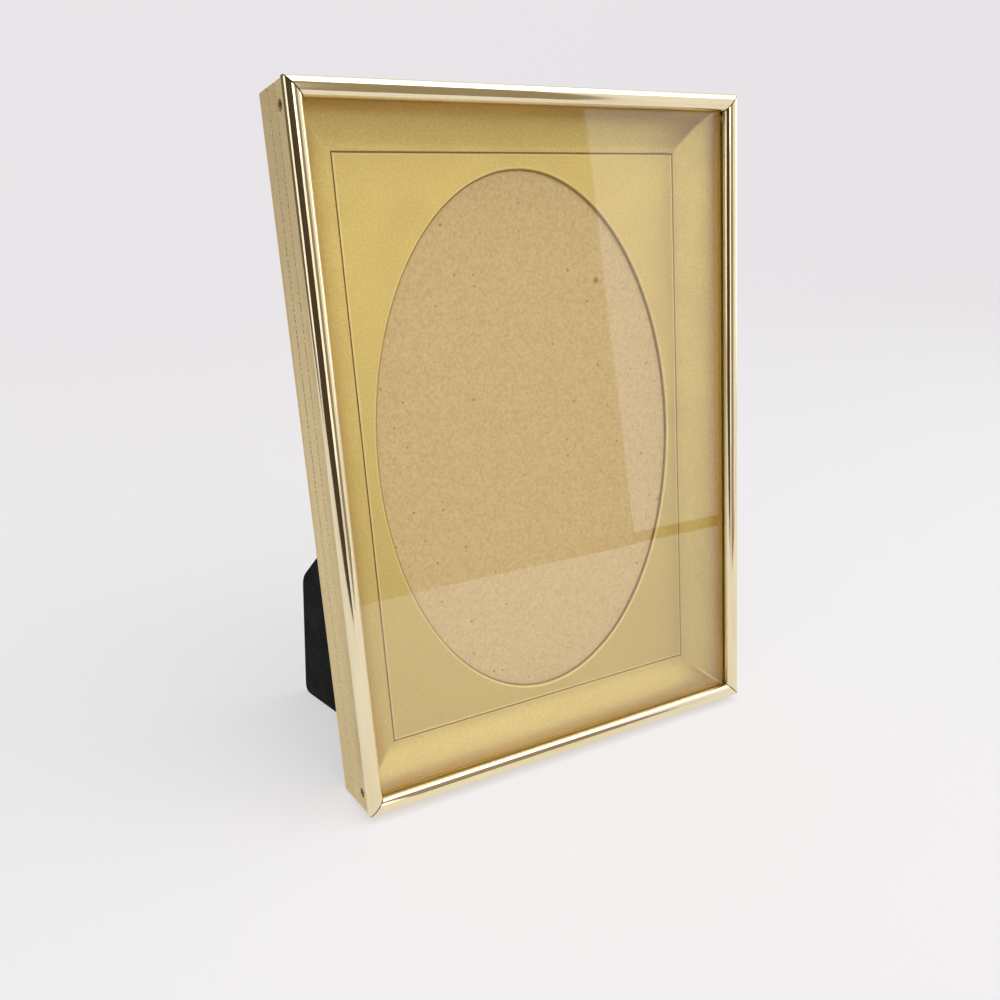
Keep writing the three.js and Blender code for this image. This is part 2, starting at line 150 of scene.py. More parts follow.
def vary_colour(material, shader, factor, stops, socket="Base Color"):
    """Colours the surface along a ramp of (place, colour) stops that the factor node drives."""
    ramp = add_node(material, "ShaderNodeValToRGB")
    elements = ramp.color_ramp.elements
    while len(elements) < len(stops):
        elements.new(0.5)
    for element, (position, colour) in zip(elements, stops):
        element.position = position
        element.color = (*colour, 1)
    join(material, factor, 0, ramp, "Fac")
    join(material, ramp, "Color", shader, socket)


def vary_roughness(material, shader, factor, low, high):
    span = add_node(material, "ShaderNodeMapRange", From_Min=0.3, From_Max=0.7, To_Min=low, To_Max=high)
    join(material, factor, 0, span, "Value")
    join(material, span, "Result", shader, "Roughness")


def add_bump(material, shader, factor, depth, strength=1.0):
    """Adds relief of about that depth in metres on top of any relief that the shader has."""
    bump = add_node(material, "ShaderNodeBump", Strength=strength, Distance=depth)
    join(material, factor, 0, bump, "Height")
    links = shader.inputs["Normal"].links
    if links:
        material.node_tree.links.new(links[0].from_socket, bump.inputs["Normal"])
    join(material, bump, "Normal", shader, "Normal")


def polished_gold(name, stretch):
    material, shader = new_finish(name, (0.86, 0.74, 0.49), 1, 0.08)
    mapping = frame_coordinates(material, stretch)
    tarnish = add_noise(material, mapping, 180, 5, 0.6)
    vary_colour(
        material,
        shader,
        tarnish,
        [(0.3, (0.81, 0.69, 0.44)), (0.55, (0.89, 0.78, 0.53)), (0.75, (0.92, 0.82, 0.58))],
    )
    vary_roughness(material, shader, add_noise(material, mapping, 420, 4), 0.05, 0.13)
    add_bump(material, shader, add_noise(material, mapping, 260, 2), 0.00006)
    add_bump(material, shader, add_noise(material, mapping, 3200, 2), 0.000004)
    return material


def grained_gold(name):
    material, shader = new_finish(name, (0.74, 0.62, 0.38), 1, 0.42)
    shader.inputs["Specular Tint"].default_value = (0.85, 0.74, 0.5, 1)
    mapping = frame_coordinates(material)
    vary_colour(
        material,
        shader,
        add_noise(material, mapping, 2600, 4, 0.6),
        [(0.3, (0.63, 0.52, 0.32)), (0.5, (0.79, 0.675, 0.43)), (0.7, (0.88, 0.765, 0.51))],
    )
    vary_roughness(material, shader, add_noise(material, mapping, 150, 3), 0.34, 0.5)
    add_bump(material, shader, add_noise(material, mapping, 2400, 2), 0.00004)
    return material


# Darker gold that paints the shade in the pressed dashes and the stake-hole dimples.
def painted_shade_gold():
    material, shader = new_finish("painted_shade_gold", (0.30, 0.22, 0.12), 1, 0.5)
    mapping = frame_coordinates(material)
    vary_colour(
        material,
        shader,
        add_noise(material, mapping, 900, 4, 0.6),
        [(0.35, (0.15, 0.10, 0.04)), (0.65, (0.30, 0.22, 0.11))],
    )
    return material


def keep_piece(bm, name, body, slot, *materials):
    """Makes a drawn mesh a piece of the object, shaded smooth between its crisp edges."""
    mesh = bpy.data.meshes.new(name)
    bm.to_mesh(mesh)
    bm.free()
    for material in materials:
        mesh.materials.append(material)
    mesh.polygons.foreach_set("use_smooth", [True] * len(mesh.polygons))
    mesh.set_sharp_from_angle(angle=crisp_from)
    piece = bpy.data.objects.new(name, mesh)
    bpy.context.scene.collection.objects.link(piece)
    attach(piece, body)
    return piece


def rail_outline():
    """Points of the rolled section's outer face, as distance in from the bead's edge and depth."""
    crown = Vector((bead_width / 2, 0))
    outer = Vector((0, bead_rise))
    inner = Vector((bead_width, bead_rise))
    rise = Vector((0, -bead_rise * bead_fullness))
    reach = Vector((bead_width / 2 * bead_fullness, 0))
    round_handle = 0.552
    hem_end = Vector((bead_width - hem_radius, bead_rise + hem_radius))
    hem_down = Vector((0, hem_radius * round_handle))
    hem_across = Vector((hem_radius * round_handle, 0))
    corner = Vector((wall_inset, rail_depth))
    lip_start = corner + Vector((lip_bend, 0))
    wall_end = corner - Vector((0, lip_bend))
    bend_in = Vector((-lip_bend * round_handle, 0))
    bend_down = Vector((0, lip_bend * round_handle))
    lip = (lip_start, lip_start + bend_in, wall_end + bend_down, wall_end, bend_points)
    outer_half = (outer, outer + rise, crown - reach, crown, bead_points)
    inner_half = (crown, crown + reach, inner + rise, inner, bead_points)
    hem = (inner, inner + hem_down, hem_end + hem_across, hem_end, bend_points)
    points = [corner + Vector((lip_reach, 0))]
    points += geometry.interpolate_bezier(*lip)
    for row, half_width_of_row in dash_rows.items():
        points.append(Vector((wall_inset, row + half_width_of_row)))
        points.append(Vector((wall_inset, row - half_width_of_row)))
    points.append(Vector((wall_inset, bead_rise + sheet)))
    points += geometry.interpolate_bezier(*outer_half)
    points += geometry.interpolate_bezier(*inner_half)[1:]
    points += geometry.interpolate_bezier(*hem)[1:]
    points.append(hem_end - Vector((hem_reach, 0)))
    return points


def press_dashes(bm, half_length):
    """Sinks the rows of dashes into a rail's side wall, each one to three thirds of the pitch long, and
    colours them with painted shade.
    """
    count = round(2 * half_length / dash_pitch)
    draw = random.Random(dash_seed)
    lengths = {row: [draw.choice(dash_lengths) for _ in range(count)] for row in dash_rows}
    lengthwise = [e for e in bm.edges if abs(e.verts[0].co.z - e.verts[1].co.z) > half_length]
    bmesh.ops.subdivide_edges(bm, edges=lengthwise, cuts=3 * count - 1, use_grid_fill=True)
    third = 2 * half_length / (3 * count)
    dashes = []
    for face in bm.faces:
        centre = face.calc_center_median()
        dash, part = divmod(int((centre.z + half_length) / third), 3)
        for row, half_width_of_row in dash_rows.items():
            if abs(centre.y - row) < half_width_of_row / 2 and part < lengths[row][dash]:
                dashes.append(face)
    bmesh.ops.inset_region(bm, faces=dashes, thickness=dash_slope, depth=-dash_depth, use_boundary=True)
    # The dashes get the darker gold, painted shade in their hollows.
    for face in dashes:
        face.material_index = dash_shade_finish


def rolled_rail(half_length, half_span):
    """A rail on the left of the middle, cut to its mitres."""
    bm = bmesh.new()
    corners = [bm.verts.new((p.x - half_span, p.y, -half_length)) for p in rail_outline()]
    edges = [bm.edges.new(pair) for pair in zip(corners, corners[1:])]
    drawn = bmesh.ops.extrude_edge_only(bm, edges=edges)["geom"]
    moved = [item for item in drawn if isinstance(item, bmesh.types.BMVert)]
    bmesh.ops.translate(bm, verts=moved, vec=(0, 0, 2 * half_length))
    bmesh.ops.recalc_face_normals(bm, faces=bm.faces)
    crown = min(bm.faces, key=lambda face: face.calc_center_median().y)
    if crown.normal.y > 0:
        bmesh.ops.reverse_faces(bm, faces=bm.faces)
    for face in bm.faces:
        face.material_index = int(face.calc_center_median().y > bead_rise + sheet / 2)
    press_dashes(bm, half_length)
    bmesh.ops.solidify(bm, geom=bm.faces[:], thickness=sheet)
    for end in (-1, 1):
        cut = bmesh.ops.bisect_plane(
            bm,
            geom=bm.verts[:] + bm.edges[:] + bm.faces[:],
            plane_co=(-half_span, 0, end * (half_length - mitre_gap)),
            plane_no=(1, 0, end),
            clear_outer=True,
        )["geom_cut"]
        rim = [item for item in cut if isinstance(item, bmesh.types.BMEdge)]
        bmesh.ops.holes_fill(bm, edges=rim)
    bmesh.ops.recalc_face_normals(bm, faces=bm.faces)
    return bm


def pierce(piece, centres):
    """Cuts the stake holes through a rail's side wall, each with the dimple that the punch leaves,
    coloured with painted shade.
    """
    bm = bmesh.new()
    taper = stake_dimple - stake_radius
    for centre in centres:
        bmesh.ops.create_cone(
            bm,
            cap_ends=True,
            segments=punch_sides,
            radius1=stake_dimple + 2 * taper,
            radius2=stake_dimple - 2 * taper,
            depth=4 * sheet,
            matrix=centre @ Matrix.Rotation(math.pi / 2, 4, "Y"),
        )
    # The dimples and the walls of the holes take the darker gold, painted shade.
    for face in bm.faces:
        face.material_index = dash_shade_finish
    mesh = bpy.data.meshes.new("stake_tools")
    bm.to_mesh(mesh)
    bm.free()
    for material in piece.data.materials:
        mesh.materials.append(material)
    tools = bpy.data.objects.new("stake_tools", mesh)
    bpy.context.scene.collection.objects.link(tools)
    cut = piece.modifiers.new("stake_holes", "BOOLEAN")
    cut.object = tools
    cut.solver = "MANIFOLD"
    depsgraph = bpy.context.evaluated_depsgraph_get()
    piece.data = bpy.data.meshes.new_from_object(piece.evaluated_get(depsgraph))
    piece.modifiers.clear()
    bpy.data.objects.remove(tools)


upright_gold = polished_gold("polished_gold_upright", (1, 1, 14))
level_gold = polished_gold("polished_gold_level", (14, 1, 1))
wall_gold = grained_gold("grained_gold")
dash_shade_gold = painted_shade_gold()
rails = {
    "left": (half_height, half_width, 0, upright_gold),
    "top": (half_width, half_height, 90, level_gold),
    "right": (half_height, half_width, 180, upright_gold),
    "bottom": (half_width, half_height, 270, level_gold),
}
for side, (half_length, half_span, turn, bead_gold) in rails.items():
    turned = place @ Matrix.Rotation(math.radians(turn), 4, "Y")
    bm = rolled_rail(half_length, half_span)
    bmesh.ops.transform(bm, matrix=turned, verts=bm.verts)
    rail = keep_piece(bm, f"{side}_rail", "frame", "rail_metal", bead_gold, wall_gold, dash_shade_gold)
    stake_height = half_length - stake_from_end
    stakes = [Vector((wall_inset - half_span, stake_depth, end * stake_height)) for end in (-1, 1)]
    pierce(rail, [turned @ Matrix.Translation(stake) for stake in stakes])
    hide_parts(f"rail_{side}")


# Glass. A plain pane of picture glass, held behind the beads by the hems.
# It is cut from clear drawn glass, which is a little wavy.
glass_index = 1.62
wave_scale = 14
wave_depth = 0.00005


def picture_glass():
    """Clear glass that bends and reflects what is seen, and lets the light on the mat straight by."""
    material, shader = new_finish("picture_glass", (0.97, 0.99, 0.98), 0, 0.0)
    shader.inputs["Transmission Weight"].default_value = 1
    shader.inputs["IOR"].default_value = glass_index
    waves = add_noise(material, frame_coordinates(material), wave_scale, 2)
    add_bump(material, shader, waves, wave_depth)
    clear = add_node(material, "ShaderNodeBsdfTransparent")
    rays = add_node(material, "ShaderNodeLightPath")
    lets_light_by = add_node(material, "ShaderNodeMath")
    lets_light_by.operation = "MAXIMUM"
    join(material, rays, "Is Shadow Ray", lets_light_by, 0)
    join(material, rays, "Is Diffuse Ray", lets_light_by, 1)
    mix = add_node(material, "ShaderNodeMixShader")
    join(material, lets_light_by, "Value", mix, 0)
    join(material, shader, "BSDF", mix, 1)
    join(material, clear, "BSDF", mix, 2)
    join(material, mix, "Shader", material.node_tree.nodes["Material Output"], "Surface")
    return material


def finish_node(name, material):
    """Gives a CAD node that is shown as it is its finish."""
    mesh = frame["nodes"][name].data
    mesh.materials.clear()
    mesh.materials.append(material)


finish_node("glass_pane", picture_glass())

# Mat. A tray pressed from one sheet of gold-faced board, with a coved border whose corners are mitred,
# a pressed line round its flat, and an oval opening with a rolled edge.
# The line's groove and the opening's inner wall are coloured darker as painted shade,
# and the ridge inside the line and the turn of the edge lighter as painted highlight.
mat_half_width = 63.5
mat_half_height = 89.1
mat_front = 5.25
mat_rim = 0.8
cove_width = 12.12
cove_depth = 8.945
cove_sweep = math.radians(78)
cove_steps = 24
line_inset = 11.2
line_half_width = 0.2
line_depth = 0.2
line_steps = 8
ridge_width = 0.45
ridge_rise = 0.07
ridge_steps = 6
line_margin = 0.3
mitre_round = 0.7
oval_half_width = 48.05
oval_half_height = 73.65
oval_steps = 160
edge_roll = 0.9
roll_steps = 8
edge_margin = 0.4
mat_board = 0.8
corner_lines = (12.4, 13.2, 15)
mitre_tolerance = 0.01
# The second and third finishes are painted shade and painted highlight on the pressed line and the
# rolled edge.
plain_finish = 0
painted_shade_finish = 1
painted_highlight_finish = 2
on_front = place @ Matrix.Rotation(math.pi / 2, 4, "X")


def gold_board(name, dark, light, smooth, rough):
    """Gold facing between two shades, with its gloss between two roughnesses."""
    material, shader = new_finish(name, light, 0.85, rough)
    shader.inputs["Specular Tint"].default_value = (*dark, 1)
    mapping = frame_coordinates(material)
    speckle = add_noise(material, mapping, 1500, 6, 0.8)
    vary_colour(material, shader, speckle, [(0.36, dark), (0.64, light)])
    vary_roughness(material, shader, add_noise(material, mapping, 90, 4), smooth, rough)
    add_bump(material, shader, add_noise(material, mapping, 3000, 3), 0.00001)
    add_bump(material, shader, add_noise(material, mapping, 25, 2), 0.0004)
    return material


def pressed_tray():
    """The mat's front face, drawn lying flat with z towards the viewer."""
    bm = bmesh.new()
    bmesh.ops.create_grid(bm, x_segments=1, y_segments=1, size=1)
    bmesh.ops.scale(bm, vec=(mat_half_width, mat_half_height, 1), verts=bm.verts)
    bmesh.ops.translate(bm, vec=(0, 0, -mat_front), verts=bm.verts)
    bm.faces.ensure_lookup_table()
    floor = bm.faces[0]

    def step(width, depth, finish=plain_finish):
        made = bmesh.ops.inset_region(
            bm,
            faces=[floor],
            thickness=width,
            depth=-depth,
            use_boundary=True,
            use_even_offset=True,
        )
        for face in made["faces"]:
            face.material_index = finish

    step(mat_rim, 0)
    reached = 0
    sunk = 0
    for i in range(1, cove_steps + 1):
        angle = cove_sweep * i / cove_steps
        width = cove_width * (1 - math.cos(angle))
        depth = cove_depth * math.sin(angle)
        step(width - reached, depth - sunk)
        reached, sunk = width, depth
    step(line_inset - line_half_width - mat_rim - reached, 0)
    # The groove of the pressed line is coloured darker, as painted shade.
    pressed = 0
    for i in range(1, line_steps + 1):
        depth = line_depth * math.sin(math.pi * i / line_steps) ** 2
        step(2 * line_half_width / line_steps, depth - pressed, painted_shade_finish)
        pressed = depth
    # The ridge inside the line is coloured lighter, as painted highlight.
    raised = 0
    for i in range(1, ridge_steps + 1):
        height = ridge_rise * math.sin(math.pi * i / ridge_steps) ** 2
        step(ridge_width / ridge_steps, raised - height, painted_highlight_finish)
        raised = height
    step(line_margin, 0)
    return bm, floor, sunk


def roll_finish(ring):
    """The rolled edge gets a painted highlight where it turns over, and painted shade on its inner wall.
    """
    if ring in (1, 2):
        return painted_highlight_finish
    if ring > roll_steps / 2:
        return painted_shade_finish
    return plain_finish


def cut_oval(bm, floor, sunk):
    """Opens the oval in the tray's floor, and rolls its edge to the back."""
    border = floor.edges[:]
    bmesh.ops.delete(bm, geom=[floor], context="FACES_KEEP_BOUNDARY")
    grow = edge_roll + edge_margin
    drop = 0
    ring = bmesh.ops.create_circle(bm, segments=oval_steps, radius=1)["verts"]
    bmesh.ops.scale(bm, vec=(oval_half_width + grow, oval_half_height + grow, 1), verts=ring)
    bmesh.ops.translate(bm, vec=(0, 0, -mat_front - sunk), verts=ring)
    loop = list(dict.fromkeys(edge for vertex in ring for edge in vertex.link_edges))
    bmesh.ops.triangle_fill(bm, edges=border + loop, normal=(0, 0, 1))
    for i in range(roll_steps + 1):
        angle = math.pi / 2 * i / roll_steps
        next_grow = edge_roll * (1 - math.sin(angle))
        next_drop = edge_roll * (1 - math.cos(angle))
        drawn = bmesh.ops.extrude_edge_only(bm, edges=loop)["geom"]
        ring = {item for item in drawn if isinstance(item, bmesh.types.BMVert)}
        edges = [item for item in drawn if isinstance(item, bmesh.types.BMEdge)]
        loop = [edge for edge in edges if ring.issuperset(edge.verts)]
        for face in (item for item in drawn if isinstance(item, bmesh.types.BMFace)):
            face.material_index = roll_finish(i)
        across = (oval_half_width + next_grow) / (oval_half_width + grow)
        along = (oval_half_height + next_grow) / (oval_half_height + grow)
        bmesh.ops.scale(bm, vec=(across, along, 1), verts=list(ring))
        bmesh.ops.translate(bm, vec=(0, 0, drop - next_drop), verts=list(ring))
        grow, drop = next_grow, next_drop


def round_mitres(bm):
    """Softens the valleys where the coves meet, as pressed board cannot fold sharply."""
    valleys = []
    for edge in bm.edges:
        insets = [(mat_half_width - abs(v.co.x), mat_half_height - abs(v.co.y)) for v in edge.verts]
        on_mitre = all(abs(across - along) < mitre_tolerance for across, along in insets)
        depths = [-v.co.z - mat_front for v in edge.verts]
        sloping = abs(depths[0] - depths[1]) > mitre_tolerance
        in_cove = max(insets)[0] < line_inset - line_half_width
        if on_mitre and sloping and in_cove:
            valleys.append(edge)
    bmesh.ops.bevel(
        bm,
        geom=valleys,
        offset=mitre_round,
        affect="EDGES",
        segments=3,
        profile=0.5,
        material=-1,
        clamp_overlap=True,
    )


def score_corners(bm):
    """Cuts lines across the tray near its corners, so that a corner's shading stays in the corner."""
    for inset in corner_lines:
        for side in (-1, 1):
            for spot, across in (
                ((side * (mat_half_width - inset), 0, 0), (1, 0, 0)),
                ((0, side * (mat_half_height - inset), 0), (0, 1, 0)),
            ):
                everything = bm.verts[:] + bm.edges[:] + bm.faces[:]
                bmesh.ops.bisect_plane(bm, geom=everything, plane_co=spot, plane_no=across)


bm, floor, sunk = pressed_tray()
cut_oval(bm, floor, sunk)
round_mitres(bm)
score_corners(bm)
bmesh.ops.recalc_face_normals(bm, faces=bm.faces)
if sum(face.normal.z * face.calc_area() for face in bm.faces) < 0:
    bmesh.ops.reverse_faces(bm, faces=bm.faces)
bmesh.ops.transform(bm, matrix=on_front, verts=bm.verts)
facing = gold_board("gold_facing", (0.63, 0.435, 0.125), (0.75, 0.56, 0.20), 0.34, 0.44)
# Darker facing for painted shade in the groove and on the opening's inner wall.
shade_facing = gold_board("painted_shade_facing", (0.35, 0.225, 0.05), (0.47, 0.31, 0.085), 0.45, 0.6)
# Lighter facing for the painted highlight on the ridge and the turn of the oval's edge.
highlight_facing = gold_board("painted_highlight_facing", (0.74, 0.55, 0.20), (0.84, 0.66, 0.30), 0.28, 0.38)
oval_tray = keep_piece(bm, "oval_tray", "frame", "gold_mat", facing, shade_facing, highlight_facing)
board = oval_tray.modifiers.new("board", "SOLIDIFY")
board.thickness = mat_board * millimetre
board.offset = -1
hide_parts("oval_mat")


# Card. A plain sheet of brown kraft card that closes the oval from behind.
# It is pulped from old paper, so it is mottled, with darker flecks in it, and one small stain.
fleck_spacing = 0.003
fleck_radius = 0.00045
stain_place = Vector((24.5, 15.1, 44.2))
stain_radius = 0.001


def tint(material, shader, share, colour):
    """Lays a colour over the one that the shader has, as much as the share node says."""
    mix = add_node(material, "ShaderNodeMixRGB", Color2=(*colour, 1))
    material.node_tree.links.new(shader.inputs["Base Color"].links[0].from_socket, mix.inputs["Color1"])
    join(material, share, "Result", mix, "Fac")
    join(material, mix, "Color", shader, "Base Color")


def add_flecks(material, shader, mapping, spacing, radius, colour):
    """Scatters flecks of uneven size, none larger than the radius, in six cells of ten."""
    cells = add_node(material, "ShaderNodeTexVoronoi", Scale=1 / spacing)
    join(material, mapping, "Vector", cells, "Vector")
    chance = add_node(material, "ShaderNodeSeparateColor")
    join(material, cells, "Color", chance, "Color")
    size = add_node(material, "ShaderNodeMapRange", From_Min=0.4, From_Max=1, To_Max=radius / spacing)
    join(material, chance, "Red", size, "Value")
    inside = add_node(material, "ShaderNodeMath")
    inside.operation = "SUBTRACT"
    join(material, size, "Result", inside, 0)
    join(material, cells, "Distance", inside, 1)
    share = add_node(material, "ShaderNodeMapRange", From_Min=0, From_Max=0.05, To_Max=0.75)
    join(material, inside, "Value", share, "Value")
    tint(material, shader, share, colour)


def add_stain(material, shader, mapping, centre, radius, colour):
    """One blot, whose edge is uneven because noise lengthens the distance from its centre."""
    away = add_node(material, "ShaderNodeVectorMath")
    away.operation = "DISTANCE"
    away.inputs[1].default_value = centre
    join(material, mapping, "Vector", away, 0)
    ragged = add_node(material, "ShaderNodeMath")
    ragged.operation = "MULTIPLY_ADD"
    ragged.inputs[1].default_value = 1.2 * radius
    join(material, add_noise(material, mapping, 700, 3), 0, ragged, 0)
    join(material, away, "Value", ragged, 2)
    share = add_node(
        material,
        "ShaderNodeMapRange",
        From_Min=1.7 * radius,
        From_Max=1.1 * radius,
        To_Max=0.85,
    )
    join(material, ragged, "Value", share, "Value")
    tint(material, shader, share, colour)


def kraft():
    material, shader = new_finish("kraft_card", (0.72, 0.48, 0.20), 0, 0.85)
    mapping = frame_coordinates(material)
    vary_colour(
        material,
        shader,
        add_noise(material, mapping, 1100, 5, 0.75),
        [(0.3, (0.60, 0.405, 0.16)), (0.5, (0.745, 0.515, 0.225)), (0.7, (0.84, 0.60, 0.28))],
    )
    add_flecks(material, shader, mapping, fleck_spacing, fleck_radius, (0.25, 0.13, 0.04))
    centre = Matrix.Rotation(lean, 3, "X") @ (place @ stain_place)
    add_stain(material, shader, mapping, centre, stain_radius, (0.36, 0.17, 0.04))
    add_bump(material, shader, add_noise(material, mapping, 1500, 4), 0.00003)
    return material


finish_node("backing_card", kraft())


# Keys. Strips of plain steel bent to a right angle, staked inside the corners of the rails.
# The same steel is used for the turn buttons, hinges and rivets at the back.
weld_distance = 1e-6
flat_within = math.radians(0.5)
rounded_from = math.radians(40)
along_broadest = 0.97


def plain_steel():
    material, shader = new_finish("plain_steel", (0.6, 0.58, 0.55), 1, 0.32)
    mapping = frame_coordinates(material)
    vary_colour(
        material,
        shader,
        add_noise(material, mapping, 900, 5, 0.65),
        [(0.3, (0.36, 0.345, 0.32)), (0.65, (0.52, 0.50, 0.47))],
    )
    vary_roughness(material, shader, add_noise(material, mapping, 500, 4), 0.24, 0.42)
    add_bump(material, shader, add_noise(material, mapping, 2400, 3), 0.00001)
    return material


def softened_copy(node, name, slot, round_edge, *materials):
    """A copy of a CAD node with its edges rounded over, which stands for it.

    A second material goes on the faces that do not lie along its broadest face.
    """
    bm = bmesh.new()
    bm.from_mesh(frame["nodes"][node].data)
    bmesh.ops.remove_doubles(bm, verts=bm.verts, dist=weld_distance)
    bmesh.ops.dissolve_limit(bm, angle_limit=flat_within, verts=bm.verts, edges=bm.edges)
    crisp = [e for e in bm.edges if e.is_manifold and e.calc_face_angle() > rounded_from]
    bmesh.ops.bevel(
        bm,
        geom=crisp,
        offset=round_edge * millimetre,
        affect="EDGES",
        segments=2,
        profile=0.5,
        material=-1,
        clamp_overlap=True,
    )
    broad = max(bm.faces, key=lambda face: face.calc_area()).normal.copy()
    for face in bm.faces:
        edge_face = abs(face.normal.dot(broad)) < along_broadest
        face.material_index = int(edge_face and len(materials) > 1)
    piece = keep_piece(bm, name, frame["nodes"][node]["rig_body"], slot, *materials)
    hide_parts(node)


steel = plain_steel()
for corner in ("bottom_left", "top_left", "top_right", "bottom_right"):
    finish_node(f"corner_key_{corner}", steel)


# Back board. Stiff board faced with black paper, which closes the back and carries the wing.
# The paper has a fine pressed grain and is rubbed paler at the edges.
board_round = 0.25


def black_paper(name, dark, light, gloss):
    material, shader = new_finish(name, light, 0, 0.7)
    mapping = frame_coordinates(material)
    scuffs = add_noise(material, mapping, 600, 6, 0.7)
    vary_colour(material, shader, scuffs, [(0.35, dark), (0.7, light)])
    vary_roughness(material, shader, add_noise(material, mapping, 120, 4), 0.6, 0.78)
    shader.inputs["Specular IOR Level"].default_value = gloss
    add_bump(material, shader, add_noise(material, mapping, 2200, 3), 0.00004)
    return material


rubbed_paper = black_paper("rubbed_paper", (0.02, 0.02, 0.02), (0.07, 0.068, 0.066), 0.3)
board_paper = black_paper("board_paper", (0.005, 0.005, 0.005), (0.024, 0.023, 0.022), 0.3)
softened_copy("back_board", "closing_board", "black_board", board_round, board_paper, rubbed_paper)

# Turn buttons. Stamped steel tongues that swivel on rivets in the back board,
# and hold it in by reaching under the lips of the rails.
tongue_round = 0.12
stud_round = 0.05
for height in ("upper", "lower"):
    for side in ("left", "right"):
        spot = f"{height}_{side}"
        softened_copy(f"turn_button_{spot}", f"button_tongue_{spot}", "plain_steel", tongue_round, steel)
        softened_copy(f"button_rivet_{spot}", f"button_stud_{spot}", "plain_steel", stud_round, steel)

# Hinges. Two small butt hinges of bent steel strip with rolled knuckles on a pin,
# riveted to the back board and to the wing.
leaf_round = 0.06
pin_round = 0.1
for height in ("lower", "upper"):
    softened_copy(f"hinge_back_leaf_{height}", f"back_leaf_{height}", "plain_steel", leaf_round, steel)
    softened_copy(f"hinge_wing_leaf_{height}", f"wing_leaf_{height}", "plain_steel", leaf_round, steel)
    softened_copy(f"hinge_pin_{height}", f"pin_{height}", "plain_steel", pin_round, steel)
    for row in ("low", "high"):
        for leaf in ("back", "wing"):
            rivet = f"{leaf}_leaf_rivet_{height}_{row}"
            softened_copy(rivet, f"{leaf}_leaf_stud_{height}_{row}", "plain_steel", stud_round, steel)

# Wing. The stand of stiff board in a duller black paper, cut to a foot at the bottom.
# It swings on the hinges, and its root edge stops it against the back board.
wing_round = 0.3
wing_paper = black_paper("black_paper", (0.001, 0.001, 0.001), (0.0095, 0.009, 0.0085), 0.06)
softened_copy("easel_wing", "board_wing", "black_board", wing_round, wing_paper, rubbed_paper)


# Studio. A white table top that runs up into a backdrop, soft lamps above and at the sides,
# and round the table, mostly past its front edge, a dim room that only reflections show.
fade_start = 0.1
fade_end = 0.9
near_evenness = 0.5
far_evenness = 0.95


def seen_rays(material_or_world):
    """A node that is 1 for rays that show the surroundings and 0 for those that light the object."""
    rays = add_node(material_or_world, "ShaderNodeLightPath")
    straight = add_node(material_or_world, "ShaderNodeMath")
    straight.operation = "MAXIMUM"
    join(material_or_world, rays, "Is Camera Ray", straight, 0)
    join(material_or_world, rays, "Is Glossy Ray", straight, 1)
    seen = add_node(material_or_world, "ShaderNodeMath")
    seen.operation = "MAXIMUM"
    join(material_or_world, straight, "Value", seen, 0)
    join(material_or_world, rays, "Is Transmission Ray", seen, 1)
    return seen


def white_sheet(near, far):
    """White cloth that keeps half of the shadows it gets, and goes over to an even backdrop."""
    material, shader = new_finish("white_sheet", (0.88, 0.865, 0.88), 0, 0.8)
    coordinates = add_node(material, "ShaderNodeTexCoord")
    depth = add_node(material, "ShaderNodeSeparateXYZ")
    join(material, coordinates, "Object", depth, "Vector")
    fade = add_node(
        material,
        "ShaderNodeMapRange",
        From_Min=fade_start,
        From_Max=fade_end,
        To_Min=near_evenness,
        To_Max=far_evenness,
    )
    away = add_node(material, "ShaderNodeMath")
    away.operation = "ABSOLUTE"
    join(material, depth, "Y", away, 0)
    join(material, away, "Value", fade, "Value")
    glow = add_node(material, "ShaderNodeEmission", Strength=1)
    vary_colour(material, glow, fade, [(near_evenness, near), (far_evenness, far)], "Color")
    evenness = add_node(material, "ShaderNodeMath")
    evenness.operation = "MULTIPLY"
    join(material, seen_rays(material), "Value", evenness, 0)
    join(material, fade, "Result", evenness, 1)
    mix = add_node(material, "ShaderNodeMixShader")
    join(material, evenness, "Value", mix, 0)
    join(material, shader, "BSDF", mix, 1)
    join(material, glow, "Emission", mix, 2)
    join(material, mix, "Shader", material.node_tree.nodes["Material Output"], "Surface")
    return material


def put_on_stage(bm, name, material):
    mesh = bpy.data.meshes.new(name)
    bm.to_mesh(mesh)
    bm.free()
    mesh.materials.append(material)
    mesh.polygons.foreach_set("use_smooth", [True] * len(mesh.polygons))
    scenery = bpy.data.objects.new(name, mesh)
    bpy.context.scene.collection.objects.link(scenery)
    return scenery


def stage_sheet(name, width, outline, material):
    """A sheet as wide as given, bent along an outline of (y, z) points in metres."""
    bm = bmesh.new()
    points = [bm.verts.new((-width / 2, y, z)) for y, z in outline]
    edges = [bm.edges.new(pair) for pair in zip(points, points[1:])]
    drawn = bmesh.ops.extrude_edge_only(bm, edges=edges)["geom"]
    moved = [item for item in drawn if isinstance(item, bmesh.types.BMVert)]
    bmesh.ops.translate(bm, verts=moved, vec=(width, 0, 0))
    return put_on_stage(bm, name, material)


sweep_radius = 0.5
sweep_start = 1.1
sweep_steps = 16
sheet_front = -2.5
sheet_top = 3.0
sheet_width = 6
sweep = [(sheet_front, 0.0)]
for i in range(sweep_steps + 1):
    angle = math.pi / 2 * i / sweep_steps
    sweep.append((sweep_start + sweep_radius * math.sin(angle), sweep_radius * (1 - math.cos(angle))))
sweep.append((sweep_start + sweep_radius, sheet_top))
cloth = white_sheet((0.98, 0.965, 0.97), (0.83, 0.805, 0.83))
stage_sheet("table_and_backdrop", sheet_width, sweep, cloth)

# A ray bends twice in the glass where its rear face throws it back, and four times by way of the mat.
most_bends_in_glass = 3


